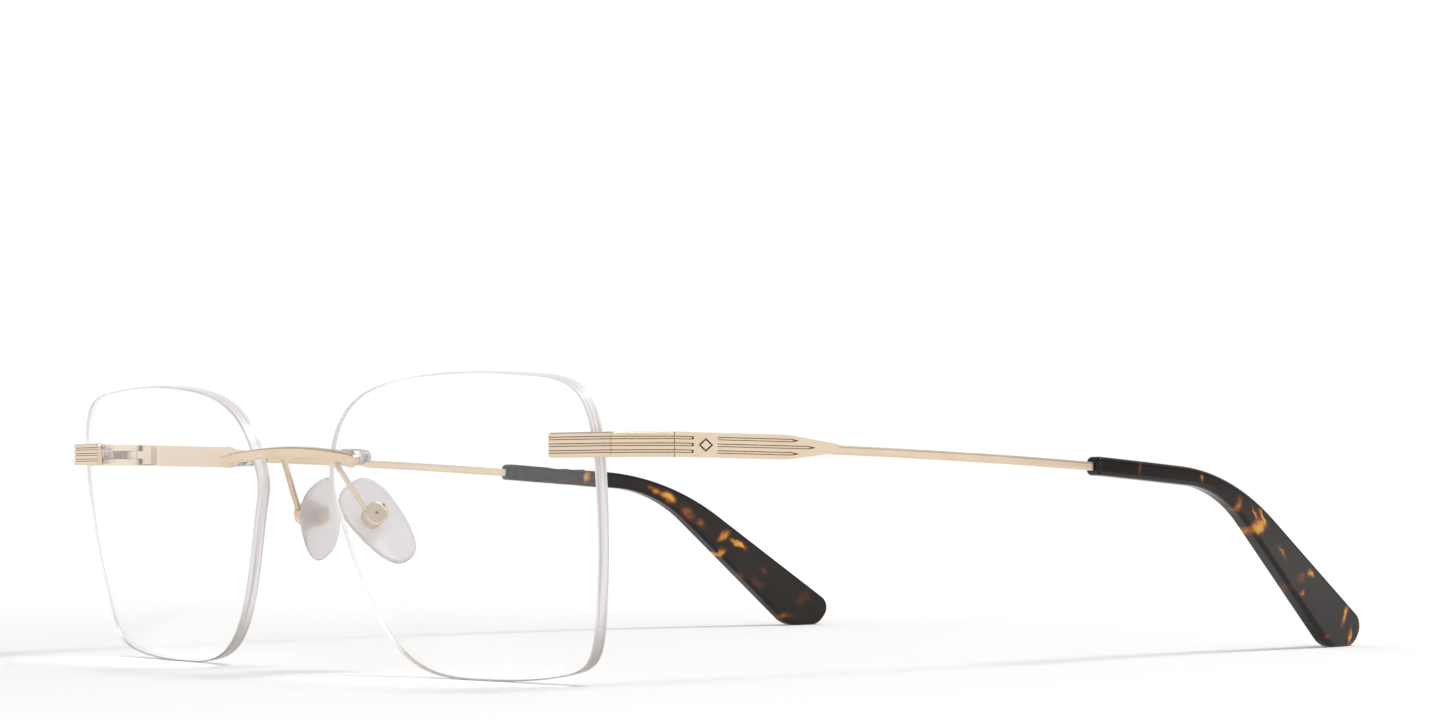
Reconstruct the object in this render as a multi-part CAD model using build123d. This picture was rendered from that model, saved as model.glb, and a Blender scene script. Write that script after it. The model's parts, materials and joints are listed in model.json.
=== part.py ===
"""Rimless eyeglasses, standing open on the lens bottoms and the temple tips.

Millimetres, +Z up. +X is the wearer's left, the lens fronts face -Y and the temples run
towards +Y. Pieces are drawn for the wearer's left side and mirrored to the right.
"""
from build123d import *
from math import atan2, cos, degrees, isclose, pi, radians, sin, sqrt, tan
import os

# ---- lenses ----
LENS_WIDTH = 55.0
LENS_HEIGHT = 40.88
LENS_GAP = 18.3  # between the two lenses at their nasal edges
LENS_THICK = 2.0
LENS_RADIUS = 261.0  # radius of the front surface
LENS_WRAP = 4.2  # degrees each lens is turned back towards the temple
LENS_TILT = 6.9  # degrees the lens top leans forward
LENS_BEVEL = 0.18
# outline as fractions of the half width (nasal side negative) and half height
LENS_SHAPE = [
    (-0.998, 0.363), (-0.785, 0.803), (-0.395, 0.959), (0.115, 1.0), (0.597, 0.969),
    (0.902, 0.861), (1.003, 0.22), (0.911, -0.586), (0.802, -0.878), (0.627, -0.954),
    (0.03, -1.0), (-0.486, -0.888), (-0.783, -0.445), (-0.966, 0.127),
]

# ---- drilled joints: two pins in clear sleeves through each lens joint ----
PIN_RADIUS = 0.45
PIN_PITCH = 3.4
PIN_SET = 0.35  # how deep a pin is set into the metal bar
PIN_SHORT = 0.15  # pin end inside the back of the plug
SLEEVE_WALL = 0.4
FIT_GAP = 0.02  # radial or face gap between pieces that are fixed together
PLUG_HEIGHT = 2.15
PLUG_DEPTH = 1.3
PLUG_WALL = 0.3  # plug beyond the sleeves at its round ends
PLUG_RIBS = 4
RIB_DEPTH = 0.15
PLUG_TAPER = 0.09  # each rib or gap is smaller than the last by this much
SLEEVE_SHORT = 0.15  # sleeve end below the lens front

# ---- bridge ----
BRIDGE_ABOVE = 9.4  # bridge datum above the lens centre, along the lens
BRIDGE_END = 1.75  # bar beyond the outer pin
BRIDGE_HEIGHT = 1.5
BRIDGE_RISE = 1.15  # rise of the arch's middle over its ends
BRIDGE_THICK = 1.05
BRIDGE_EDGE = 0.3
BRIDGE_JOINT_IN = 4.7  # joint centre in from the nasal edge of the lens
BRIDGE_SPAN = LENS_GAP + 2 * (BRIDGE_JOINT_IN + PIN_PITCH / 2 + BRIDGE_END)

# ---- end pieces ----
END_ABOVE = 10.55  # end piece centre above the lens centre, along the lens
END_HEIGHT = 3.2
END_JOINT_IN = 3.5  # joint centre in from the temporal edge of the lens
END_MARGIN = 1.85  # strap beyond the inner pin
END_OVERLAP = END_JOINT_IN + PIN_PITCH / 2 + END_MARGIN  # length that lies over the lens
END_THICK = 1.1
END_SINK = 0.2  # depth trimmed off the back so that it follows the lens
END_SIDE = 3.75  # outer corner out from the temporal edge of the lens
END_REACH = 10.1  # corner to the hinge line
END_CORNER = 1.5
END_ROUND = 0.5  # radius of the two corners at the inner end
END_EDGE = 0.22
LENS_CLEAR = 0.6  # the strap clears the lens edge by this much
GROOVE_COUNT = 3
GROOVE_PITCH = 0.86
GROOVE_WIDTH = 0.42
GROOVE_DEPTH = 0.16

# ---- hinge ----
KNUCKLE_RADIUS = 1.28
KNUCKLE_GAP = 0.12  # between a turning knuckle and what it passes
TONGUE_HEIGHT = 1.16
TONGUE_GAP = 0.04  # above and below the tongue
HINGE_SCREW_RADIUS = 0.6
HINGE_RUN = 0.04  # radial running clearance of the screw in the tongue
HINGE_HEAD_RADIUS = 0.93
HINGE_HEAD_HEIGHT = 0.45
SCREW_SLOT = 0.22
JOINT_LINE = 0.1  # gap between the end piece and the temple plate
FORK_SHORT = 0.04  # fork above and below, inside the height of the end piece
FORK_START = 0.6  # fork behind the inner face of the corner
FORK_WEB = 1.6  # length that joins the two rails
RAIL_DEPTH = 1.4
TONGUE_SHORT = 0.14  # root above and below, inside the height of the temple plate
TONGUE_ROOT = 5.04  # end of the root behind the axis
TONGUE_DEPTH = 0.7  # root at its thin end

# ---- temples ----
TEMPLE_LENGTH = 145.0  # hinge line to the end of the tip, along the temple
TEMPLE_THICK = 1.1
HINGE_INSET = max(END_THICK, TEMPLE_THICK) + KNUCKLE_RADIUS + KNUCKLE_GAP  # axis to outer face
TEMPLE_SPLAY = 2.1  # degrees the side leans out towards the ear
WIRE_HEIGHT = 1.2
WIRE_EDGE = 0.3
WIRE_SHORT = 8.0  # wire end inside the end of the tip
PLATE_LENGTH = 18.5  # full-height part of the temple plate
TAPER_LENGTH = 8.5
TAPER_ROUND = 13.6  # radius of the plate's shoulders
MOTIF_AT = 5.0  # engraved lozenge, from the hinge line
MOTIF_LENGTH = 2.4
MOTIF_HEIGHT = 1.8
MOTIF_GAP = 0.7  # between the lozenge and the grooves
GROOVE_POINT = 1.2  # length of a groove's pointed end
GROOVE_PAST = 1.8  # outer grooves end this far past the plate's shoulder
GROOVE_STEP = 2.8  # and the middle one this much further
END_LIFT = 0.1  # end of the temple's middle line above the floor
TOE_START = 55.5  # hinge line to where the temple starts to curve inwards
TOE_LENGTH = 34.0
TOE_ANGLE = 9.7
SIDE_SAG = 3.07  # degrees the temple curves down before the ear bend
SAG_LEAD = 0.5  # straight length at each end of that curve
DROP_START = 1.36  # degrees the temple points down at the hinge
EAR_BEND = 33.7
EAR_RADIUS = 34.0

# ---- temple tips ----
TIP_BEFORE_BEND = 30.5  # mouth of the tip to the ear bend
TIP_WIDTH = 2.6
TIP_MOUTH_HEIGHT = 2.67
TIP_BEND_HEIGHT = 3.4
TIP_FLARE = 3.75  # degrees each edge spreads from the middle line after the bend
TIP_EDGE = 0.6
TIP_UPPER_RADIUS = 46.0
TIP_LOWER_RADIUS = 23.0
TIP_MOUTH_RADIUS = 0.9
TIP_REAR_RADIUS = 2.3
TIP_HEEL_RADIUS = 3.0
TIP_TOE_RADIUS = 5.0

# ---- nose pads ----
PAD_X = 8.41  # pad centre from the middle
PAD_BEHIND = 8.46  # pad centre behind the lens centres
PAD_ABOVE = 0.76  # pad centre above the lens centres
PAD_LENGTH = 13.5
PAD_WIDTH = 7.5
PAD_THICK = 1.9
PAD_SPREAD = 32.3  # degrees the pad bottoms stand apart
PAD_LEAN = 28.7  # degrees the pad tops lean forward
PAD_TWIST = 17.7
PAD_EGG = 0.15
PAD_SKEW = 0.069
PAD_SQUARE = 2.58  # superellipse exponent of the pad outline
PAD_BACK = 0.55  # pad's outer face from its middle plane
PAD_INNER_ROUND = 0.95
PAD_OUTER_ROUND = 0.47
INSERT_WIDTH = 2.2
INSERT_LENGTH = 2.4
INSERT_THICK = 0.5
INSERT_SIDE = 0.3  # middle of the plate across the pad
EYE_RADIUS = 0.56
EYE_OUT = 1.58  # screw axis from the pad's middle plane
EYE_SIDE = -0.74  # box centre across the pad
EYE_UP = 0.83  # screw axis along the pad
BOX_SIZE = 3.0
BOX_CORNER = 0.95
BOX_LIFT = 0.42  # cheeks above the back of the pad
BOX_WALL = 0.42
BOX_COVER = 0.42
BOX_GAP = 0.1
DIMPLE_RADIUS = 0.2
DIMPLE_DEPTH = 0.15
PAD_SCREW_RADIUS = 0.3
PAD_SCREW_RUN = 0.04
PAD_HEAD_RADIUS = 0.68
PAD_HEAD_HEIGHT = 0.55
ARM_WIDTH = 0.85
ARM_THICK = 0.6
ARM_ROOT_X = 6.2
ARM_SINK = 0.1  # start of the arm inside the bar, which is then cut away from it
ARM_REACH = 3.6  # how far the arm runs back from the bridge
ARM_OUT = 0.9  # and outwards on the way
ARM_BEND = 1.2


# ---------------------------------------------------------------- lens geometry
def lens_plane():
    """The left lens frame: origin at the front apex, x towards the temple, z forward."""
    wrap = radians(LENS_WRAP)
    tilt = radians(LENS_TILT)
    across = Vector(cos(wrap), sin(wrap), 0)
    level = Vector(sin(wrap), -cos(wrap), 0)
    forward = level * cos(tilt) - Vector(0, 0, 1) * sin(tilt)
    low_sag = LENS_RADIUS - sqrt(LENS_RADIUS**2 - (LENS_HEIGHT / 2) ** 2)
    height = LENS_HEIGHT / 2 * cos(tilt) - low_sag * sin(tilt)
    middle = LENS_GAP / 2 + LENS_WIDTH / 2 * cos(wrap)
    return Plane(origin=(middle, 0, height), x_dir=across, z_dir=forward)


def lens_front(u, v):
    """A point on the left lens's front surface, in the object's frame."""
    sag = LENS_RADIUS - sqrt(LENS_RADIUS**2 - u * u - v * v)
    return lens_plane().from_local_coords(Vector(u, v, -sag))


def lens_joint_plane(u, v):
    """Frame of a drilled joint: z is the lens normal there, x runs along the lens."""
    frame = lens_plane()
    centre = frame.from_local_coords(Vector(0, 0, -LENS_RADIUS))
    point = lens_front(u, v)
    normal = (point - centre).normalized()
    return Plane(origin=point, x_dir=frame.x_dir, z_dir=normal)


def bridge_joint():
    return lens_joint_plane(BRIDGE_JOINT_IN - LENS_WIDTH / 2, BRIDGE_ABOVE)


def end_joint():
    return lens_joint_plane(LENS_WIDTH / 2 - END_JOINT_IN, END_ABOVE)


def lens_ball(gap):
    """Everything behind the lens's front surface, moved forward by gap."""
    centre = lens_plane().from_local_coords(Vector(0, 0, -LENS_RADIUS))
    return Pos(centre) * Sphere(LENS_RADIUS + gap)


def pin_places():
    return [-PIN_PITCH / 2, PIN_PITCH / 2]


def lens():
    points = [(x * LENS_WIDTH / 2, y * LENS_HEIGHT / 2) for x, y in LENS_SHAPE]
    outline = make_face(Spline(*points, periodic=True))
    blank = extrude(outline, LENS_HEIGHT, both=True)
    centre = Pos(0, 0, -LENS_RADIUS) * Rot(90, 0, 0)
    shell = blank & (centre * Sphere(LENS_RADIUS))
    shell = shell - centre * Sphere(LENS_RADIUS - LENS_THICK)
    shell = chamfer(shell.edges(), LENS_BEVEL)
    body = lens_plane() * shell
    hole = Cylinder(PIN_RADIUS + SLEEVE_WALL + 2 * FIT_GAP, 4 * LENS_THICK)
    for frame in (bridge_joint(), end_joint()):
        for x in pin_places():
            body = body - frame * Pos(x, 0, 0) * hole
    return body


def plug(frame):
    """Clear double plug: a ribbed pad behind the lens and two sleeves through it."""
    seat = -LENS_THICK - 2 * FIT_GAP
    length = PIN_PITCH + PLUG_HEIGHT + 2 * PLUG_WALL
    step = PLUG_DEPTH / (2 * PLUG_RIBS - 1)
    layers = []
    for index in range(2 * PLUG_RIBS - 1):
        less = PLUG_TAPER * index + 2 * RIB_DEPTH * (index % 2)
        layer = extrude(SlotOverall(length - less, PLUG_HEIGHT - less), step)
        layers.append(Pos(0, 0, seat - (index + 1) * step) * layer)
    body = Part() + layers
    sleeve_length = LENS_THICK + 2 * FIT_GAP - SLEEVE_SHORT
    for x in pin_places():
        sleeve = Cylinder(PIN_RADIUS + SLEEVE_WALL + FIT_GAP, sleeve_length)
        body = body + Pos(x, 0, seat + sleeve_length / 2) * sleeve
    bore_depth = -seat + PLUG_DEPTH
    for x in pin_places():
        bore = Cylinder(PIN_RADIUS + FIT_GAP, 2 * bore_depth)
        body = body - Pos(x, 0, 0) * bore
    return frame * body


def pins(frame):
    """The two posts of a joint, from inside the bar to the end of the plug."""
    low = -LENS_THICK - PLUG_DEPTH + PIN_SHORT
    length = PIN_SET - low
    pair = [Pos(x, 0, low + length / 2) * Cylinder(PIN_RADIUS, length) for x in pin_places()]
    return [frame * post for post in pair]


# ---------------------------------------------------------------- bridge
def bridge_plane():
    """Back face of the bridge bar: leans with the lenses and clears their fronts."""
    tilt = radians(LENS_TILT)
    forward = Vector(0, -cos(tilt), -sin(tilt))
    datum = lens_front(BRIDGE_JOINT_IN - LENS_WIDTH / 2, BRIDGE_ABOVE)
    near = []
    reach = BRIDGE_SPAN / 2 - LENS_GAP / 2
    for u in (0.5, reach / 2, reach):
        for v in (BRIDGE_ABOVE - BRIDGE_HEIGHT, BRIDGE_ABOVE + BRIDGE_HEIGHT):
            near.append(lens_front(u - LENS_WIDTH / 2, v).dot(forward))
    step = max(near) + FIT_GAP - Vector(0, 0, datum.Z).dot(forward)
    origin = Vector(0, 0, datum.Z) + forward * step
    return Plane(origin=origin, x_dir=(1, 0, 0), z_dir=forward)


def bridge():
    """Arched bar with round ends, set on the lens fronts."""
    end = (BRIDGE_SPAN - BRIDGE_HEIGHT) / 2
    arch = ThreePointArc((-end, 0), (0, BRIDGE_RISE), (end, 0))
    bar = extrude(SlotArc(arch, BRIDGE_HEIGHT), BRIDGE_THICK)
    bar = fillet(bar.faces().sort_by(Axis.Z)[-1].edges(), BRIDGE_EDGE)
    bar = bridge_plane() * bar
    for post in pins(bridge_joint()):
        bar = bar - post - mirror(post, about=Plane.YZ)
    return bar


# ---------------------------------------------------------------- outlines
def offset_corner(before, point, after, distance):
    """Corner of a path moved sideways by distance, to the left of its direction."""
    first = (point - before).normalized()
    second = (after - point).normalized()
    normal = Vector(-first.Y, first.X)
    turn = first.get_signed_angle(second, Vector(0, 0, 1))
    along = first * (-distance * tan(radians(turn) / 2))
    return point + normal * distance + along, turn


def offset_path(points, radii, distance):
    """A filleted path moved sideways: its points and the radii of its arcs."""
    points = [Vector(*p) for p in points]
    first = (points[1] - points[0]).normalized()
    last = (points[-1] - points[-2]).normalized()
    moved = [points[0] + Vector(-first.Y, first.X) * distance]
    changed = []
    for index, radius in enumerate(radii, start=1):
        corner, turn = offset_corner(*points[index - 1:index + 2], distance)
        moved.append(corner)
        changed.append(radius - distance if turn > 0 else radius + distance)
    moved.append(points[-1] + Vector(-last.Y, last.X) * distance)
    return moved, changed


def band(points, radii, left, right):
    """Face between two offsets of a filleted path."""
    one, one_radii = offset_path(points, radii, left)
    two, two_radii = offset_path(points, radii, -right)
    upper = FilletPolyline(*one, radius=one_radii)
    lower = FilletPolyline(*two, radius=two_radii)
    ends = [Line(one[0], two[0]), Line(one[-1], two[-1])]
    return make_face(upper.edges() + lower.edges() + ends)


def heading(angle):
    """Unit vector in a drawing plane, angle in degrees."""
    return Vector(cos(radians(angle)), sin(radians(angle)))


def meet(point, angle, other, other_angle):
    """Where two lines of a drawing plane cross."""
    along = heading(angle)
    cross = heading(other_angle)
    gap = other - point
    share = (gap.X * cross.Y - gap.Y * cross.X) / (along.X * cross.Y - along.Y * cross.X)
    return point + along * share


# ---------------------------------------------------------------- end pieces
def end_level():
    """Height of the end piece and the hinge."""
    return lens_front(LENS_WIDTH / 2 - END_JOINT_IN, END_ABOVE).Z


def end_path():
    """Outer face of the end piece seen from above: inner end, corner, hinge line."""
    inner = lens_front(LENS_WIDTH / 2 - END_OVERLAP, END_ABOVE)
    edge = lens_front(LENS_WIDTH / 2, END_ABOVE)
    turn = degrees(atan2(edge.Y - inner.Y, edge.X - inner.X))
    forward = heading(turn - 90) * (END_THICK - END_SINK)
    start = Vector(inner.X, inner.Y) + forward
    side_x = edge.X + END_SIDE
    corner = meet(start, turn, Vector(side_x, start.Y), 90 - TEMPLE_SPLAY)
    hinge = corner + heading(90 - TEMPLE_SPLAY) * END_REACH
    return start, corner, hinge


def hinge_plane():
    """Frame at the hinge line on the outer face: x out, y towards the ear."""
    hinge = end_path()[2]
    out = heading(-TEMPLE_SPLAY)
    origin = (hinge.X, hinge.Y, end_level())
    return Plane(origin=origin, x_dir=(out.X, out.Y, 0), z_dir=(0, 0, 1))


def groove_levels():
    first = -(GROOVE_COUNT - 1) / 2
    return [(first + index) * GROOVE_PITCH for index in range(GROOVE_COUNT)]


def end_piece():
    """Strap that runs across the lens front, round the corner and back to the hinge."""
    start, corner, hinge = end_path()
    level = end_level()
    plan = band([start, corner, hinge], [END_CORNER], END_THICK, 0)
    strap = Pos(0, 0, level - END_HEIGHT / 2) * extrude(plan, END_HEIGHT)
    blunt = strap.edges().filter_by(Plane.XY).sort_by(Axis.X)[:2]
    strap = fillet(blunt, END_ROUND)
    rims = [edge for edge in strap.edges() if edge.center().Y < hinge.Y - END_THICK / 2
            and not isclose(edge.length, END_THICK, abs_tol=END_EDGE / 10)]
    strap = fillet(rims, END_EDGE)
    edge_x = lens_front(LENS_WIDTH / 2, END_ABOVE).X
    reach = 2 * END_OVERLAP
    zone = Pos(edge_x + LENS_CLEAR - reach / 2, 0, level) * Box(reach, 8 * END_THICK, 2 * END_HEIGHT)
    strap = strap - (zone & lens_ball(FIT_GAP))
    before = start + (start - corner).normalized()
    after = hinge + (hinge - corner).normalized()
    trench = band([before, corner, after], [END_CORNER], GROOVE_DEPTH, END_THICK)
    for offset in groove_levels():
        low = level + offset - GROOVE_WIDTH / 2
        strap = strap - Pos(0, 0, low) * extrude(trench, GROOVE_WIDTH)
    for post in pins(end_joint()):
        strap = strap - post
    return strap


# ---------------------------------------------------------------- hinge
def axis_spot():
    return Pos(-HINGE_INSET, 0, 0)


def hinge_half():
    """Half the height of the fork."""
    return END_HEIGHT / 2 - FORK_SHORT


def hinge_fork():
    """Two rails brazed inside the end piece, ending in the ears of the hinge."""
    outer = -END_THICK
    inner = -HINGE_INSET - KNUCKLE_RADIUS
    back = END_THICK + FORK_START - END_REACH
    plan = Polygon((outer, back), (outer, 0), (inner, 0), (inner, -2 * KNUCKLE_RADIUS),
                   (outer - RAIL_DEPTH, back), align=None)
    plan = plan + axis_spot() * Circle(KNUCKLE_RADIUS)
    half = hinge_half()
    slot = TONGUE_HEIGHT + 2 * TONGUE_GAP
    fork = extrude(plan, half, both=True)
    fork = fork - Pos(0, back + FORK_WEB + END_REACH, 0) * Box(4 * HINGE_INSET, 2 * END_REACH, slot)
    fork = fork - axis_spot() * Cylinder(HINGE_SCREW_RADIUS, 4 * half)
    head = Cylinder(HINGE_HEAD_RADIUS + FIT_GAP, 2 * HINGE_HEAD_HEIGHT)
    fork = fork - axis_spot() * Pos(0, 0, half) * head
    return hinge_plane() * fork


def hinge_tongue():
    """Knuckle of the temple, brazed inside its plate and held in the fork."""
    outer = -TEMPLE_THICK
    inner = -HINGE_INSET - KNUCKLE_RADIUS + JOINT_LINE
    near = KNUCKLE_RADIUS + KNUCKLE_GAP
    root = Polygon((outer, near), (outer, TONGUE_ROOT), (outer - TONGUE_DEPTH, TONGUE_ROOT),
                   (inner, 2 * near), (inner, near), align=None)
    face = outer - KNUCKLE_GAP
    web = Polygon((face, 0), (face, near), (inner, near), (inner, 0), align=None)
    web = web + axis_spot() * Circle(KNUCKLE_RADIUS)
    high = END_HEIGHT / 2 - TONGUE_SHORT
    tongue = extrude(root, high, both=True) + extrude(web, TONGUE_HEIGHT / 2, both=True)
    tongue = tongue - axis_spot() * Cylinder(HINGE_SCREW_RADIUS + HINGE_RUN, END_HEIGHT)
    return hinge_plane() * tongue


def hinge_screw():
    half = hinge_half()
    shank = Cylinder(HINGE_SCREW_RADIUS, 2 * half)
    head = Pos(0, 0, half - HINGE_HEAD_HEIGHT / 2) * Cylinder(HINGE_HEAD_RADIUS, HINGE_HEAD_HEIGHT)
    slot = Pos(0, 0, half) * Box(3 * HINGE_HEAD_RADIUS, SCREW_SLOT, HINGE_HEAD_HEIGHT)
    return hinge_plane() * axis_spot() * (shank + head - slot)


# ---------------------------------------------------------------- temples
def plan_path():
    """Outer face of the temple seen from above."""
    hinge = end_path()[2]
    out = heading(90 - TEMPLE_SPLAY)
    start = hinge + out * JOINT_LINE
    turn = hinge + out * (TOE_START + TOE_LENGTH / 2)
    end = turn + heading(90 - TEMPLE_SPLAY + TOE_ANGLE) * TEMPLE_LENGTH
    radius = TOE_LENGTH / 2 / tan(radians(TOE_ANGLE / 2))
    return [start, turn, end], [radius]


def ear_drop():
    """Length past the ear bend that brings the end of the middle line down to the floor."""
    fall = DROP_START + SIDE_SAG
    gentle = sin(radians(DROP_START))
    sagged = sin(radians(fall))
    steep = sin(radians(fall + EAR_BEND))
    easing = EAR_RADIUS * tan(radians(EAR_BEND / 2))
    straight = (gentle * (TEMPLE_LENGTH - easing) + sagged * (TEMPLE_LENGTH + easing)) / 2
    return (end_level() - END_LIFT - straight) / (steep - (gentle + sagged) / 2)


def side_path(short=0):
    """Middle line of the temple seen from the side, as (Y, Z): hinge, sag, bend, end."""
    hinge = Vector(end_path()[2].Y, end_level())
    drop = ear_drop()
    before = TEMPLE_LENGTH - drop
    easy = (before - EAR_RADIUS * tan(radians(EAR_BEND / 2))) / 2
    fall = DROP_START + SIDE_SAG
    first = hinge + heading(-DROP_START) * easy
    bend = first + heading(-fall) * (before - easy)
    end = bend + heading(-fall - EAR_BEND) * (drop - short)
    radius = (easy - SAG_LEAD) / tan(radians(SIDE_SAG / 2))
    return [hinge, first, bend, end], [radius, EAR_RADIUS]


def swept(side_face, left, right):
    """A side view given its curved plan: left is inwards and right is outwards."""
    slab = extrude(Plane.YZ * side_face, 3 * LENS_WIDTH, dir=(1, 0, 0))
    points, radii = plan_path()
    plan = band(points, radii, left, right)
    return slab & extrude(plan, 3 * LENS_HEIGHT, both=True)


def wire_side(gap):
    points, radii = side_path(short=WIRE_SHORT)
    return band(points, radii, WIRE_HEIGHT / 2 + gap, WIRE_HEIGHT / 2 + gap)


def plate_side():
    """Side view of the flat front of the temple, tapering into the wire."""
    hinge = side_path()[0][0]
    slope = Rot(0, 0, -DROP_START)
    half = END_HEIGHT / 2
    end = PLATE_LENGTH + TAPER_LENGTH
    neck = 0.9 * WIRE_HEIGHT / 2
    shape = Polygon((-1, -half), (PLATE_LENGTH, -half), (end, -neck), (end, neck),
                    (PLATE_LENGTH, half), (-1, half), align=None)
    shoulders = shape.vertices().group_by(Axis.X)[1]
    shape = fillet(shoulders, TAPER_ROUND)
    return Pos(hinge.X, hinge.Y) * slope * shape


def temple():
    """Plate, wire and the core inside the tip, all one strip."""
    body = swept(plate_side() + wire_side(0), TEMPLE_THICK, 0)
    face = hinge_plane()
    neck = face.origin.Y + PLATE_LENGTH + TAPER_LENGTH
    rims = [edge for edge in body.edges()
            if edge.center().Y > neck and edge.length > 2 * WIRE_HEIGHT]
    body = fillet(rims, WIRE_EDGE)
    along = face.y_dir.rotate(Axis((0, 0, 0), face.x_dir), -DROP_START)
    skin = Plane(origin=face.origin, x_dir=along, z_dir=face.x_dir)
    for cut in temple_engraving():
        body = body - skin * extrude(cut, GROOVE_DEPTH, both=True)
    return body


def temple_engraving():
    """Grooves before and after a plain lozenge, drawn on the outer face."""
    half = GROOVE_WIDTH / 2
    short_end = MOTIF_AT - MOTIF_LENGTH / 2 - MOTIF_GAP
    start = MOTIF_AT + MOTIF_LENGTH / 2 + MOTIF_GAP
    cuts = []
    for index, offset in enumerate(groove_levels()):
        first = SlotOverall(short_end + 2, GROOVE_WIDTH)
        cuts.append(Pos(short_end / 2 - 1, offset) * first)
        middle = 1 - abs(index - (GROOVE_COUNT - 1) / 2)
        end = PLATE_LENGTH + GROOVE_PAST + GROOVE_STEP * middle
        neck = end - GROOVE_POINT
        cuts.append(Polygon((start, offset - half), (neck, offset - half), (end, offset),
                            (neck, offset + half), (start, offset + half), align=None))
    wide = MOTIF_LENGTH / 2
    tall = MOTIF_HEIGHT / 2
    outer = Polygon((-wide, 0), (0, tall), (wide, 0), (0, -tall), align=None)
    cuts.append(Pos(MOTIF_AT, 0) * (outer - scale(outer, 0.68)))
    return cuts


def tip_side():
    """Side view of the tip: mouth, ear bend, flared end standing on the floor."""
    bend, end = side_path()[0][2:]
    fall = DROP_START + SIDE_SAG
    drop = fall + EAR_BEND
    mouth = bend - heading(-fall) * TIP_BEFORE_BEND
    half = TIP_MOUTH_HEIGHT / 2
    top_mouth = mouth + heading(90 - fall) * half
    low_mouth = mouth - heading(90 - fall) * half
    top_slope = TIP_FLARE - drop
    low_slope = -TIP_FLARE - drop
    top_line = bend + heading(top_slope + 90) * (TIP_BEND_HEIGHT / 2)
    low_line = bend - heading(low_slope + 90) * (TIP_BEND_HEIGHT / 2)
    top_bend = meet(top_mouth, -fall, top_line, top_slope)
    low_bend = meet(low_mouth, -fall, low_line, low_slope)
    floor = Vector(0, 0)
    rear = meet(top_line, top_slope, end, 90 - drop)
    heel = meet(end, 90 - drop, floor, 0)
    toe = meet(low_line, low_slope, floor, 0)
    corners = [top_mouth, top_bend, rear, heel, toe, low_bend, low_mouth]
    radii = [TIP_MOUTH_RADIUS, TIP_UPPER_RADIUS, TIP_REAR_RADIUS, TIP_HEEL_RADIUS,
             TIP_TOE_RADIUS, TIP_LOWER_RADIUS, TIP_MOUTH_RADIUS]
    return make_face(FilletPolyline(*corners, radius=radii, close=True))


def temple_tip():
    """Acetate tip over the end of the wire."""
    proud = (TIP_WIDTH - TEMPLE_THICK) / 2
    body = swept(tip_side(), TEMPLE_THICK + proud, proud)
    body = fillet(body.edges(), TIP_EDGE)
    core = swept(wire_side(FIT_GAP), TEMPLE_THICK + FIT_GAP, FIT_GAP)
    return body - core


# ---------------------------------------------------------------- nose pads
def pad_plane():
    """Frame of the left pad: x across it, y up its length, z away from the nose."""
    spread = radians(PAD_SPREAD)
    lean = radians(PAD_LEAN)
    up = Vector(-sin(spread) * cos(lean), -sin(lean), cos(spread) * cos(lean))
    level = (Vector(0, 1, 0) - up * up.Y).normalized()
    twist = radians(PAD_TWIST)
    across = level * cos(twist) + level.cross(up) * sin(twist)
    centre = (PAD_X, PAD_BEHIND, lens_plane().origin.Z + PAD_ABOVE)
    return Plane(origin=centre, x_dir=across, z_dir=across.cross(up))


def pad_outline():
    """Egg-shaped superellipse, drawn in the pad's frame."""
    points = []
    count = 20
    for index in range(count):
        angle = 2 * pi * (index + 0.5) / count
        c = cos(angle)
        s = sin(angle)
        x = PAD_WIDTH / 2 * abs(c) ** (2 / PAD_SQUARE) * (1 if c > 0 else -1)
        y = PAD_LENGTH / 2 * abs(s) ** (2 / PAD_SQUARE) * (1 if s > 0 else -1)
        x = x * (1 + PAD_EGG * y / (PAD_LENGTH / 2)) + PAD_SKEW * y
        points.append((x, y))
    return make_face(Spline(*points, periodic=True))


def insert_shape():
    """Metal plate moulded into the pad, with the eye that the screw passes through."""
    deep = PAD_BACK - PAD_THICK / 2
    plate = Pos(INSERT_SIDE - EYE_SIDE, 0, deep) * Box(INSERT_WIDTH, INSERT_LENGTH, INSERT_THICK)
    wide = BOX_SIZE - 2 * BOX_WALL - 2 * BOX_GAP
    stem = Pos(0, 0, (deep + EYE_OUT) / 2) * Box(wide, 2 * EYE_RADIUS, EYE_OUT - deep)
    eye = Pos(0, 0, EYE_OUT) * Rot(0, 90, 0) * Cylinder(EYE_RADIUS, wide)
    body = plate + stem + eye
    hole = Rot(0, 90, 0) * Cylinder(PAD_SCREW_RADIUS + PAD_SCREW_RUN, 2 * BOX_SIZE)
    body = body - Pos(0, 0, EYE_OUT) * hole
    return Pos(EYE_SIDE, EYE_UP, 0) * body


def pad_insert():
    return pad_plane() * insert_shape()


def nose_pad():
    body = Pos(0, 0, PAD_BACK - PAD_THICK) * extrude(pad_outline(), PAD_THICK)
    faces = body.faces().sort_by(Axis.Z)
    body = fillet(faces[0].edges(), PAD_INNER_ROUND)
    body = fillet(body.faces().sort_by(Axis.Z)[-1].edges(), PAD_OUTER_ROUND)
    return pad_plane() * (body - insert_shape())


def box_levels():
    low = PAD_BACK + BOX_LIFT
    high = EYE_OUT + EYE_RADIUS + BOX_GAP + BOX_COVER
    return low, high


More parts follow.
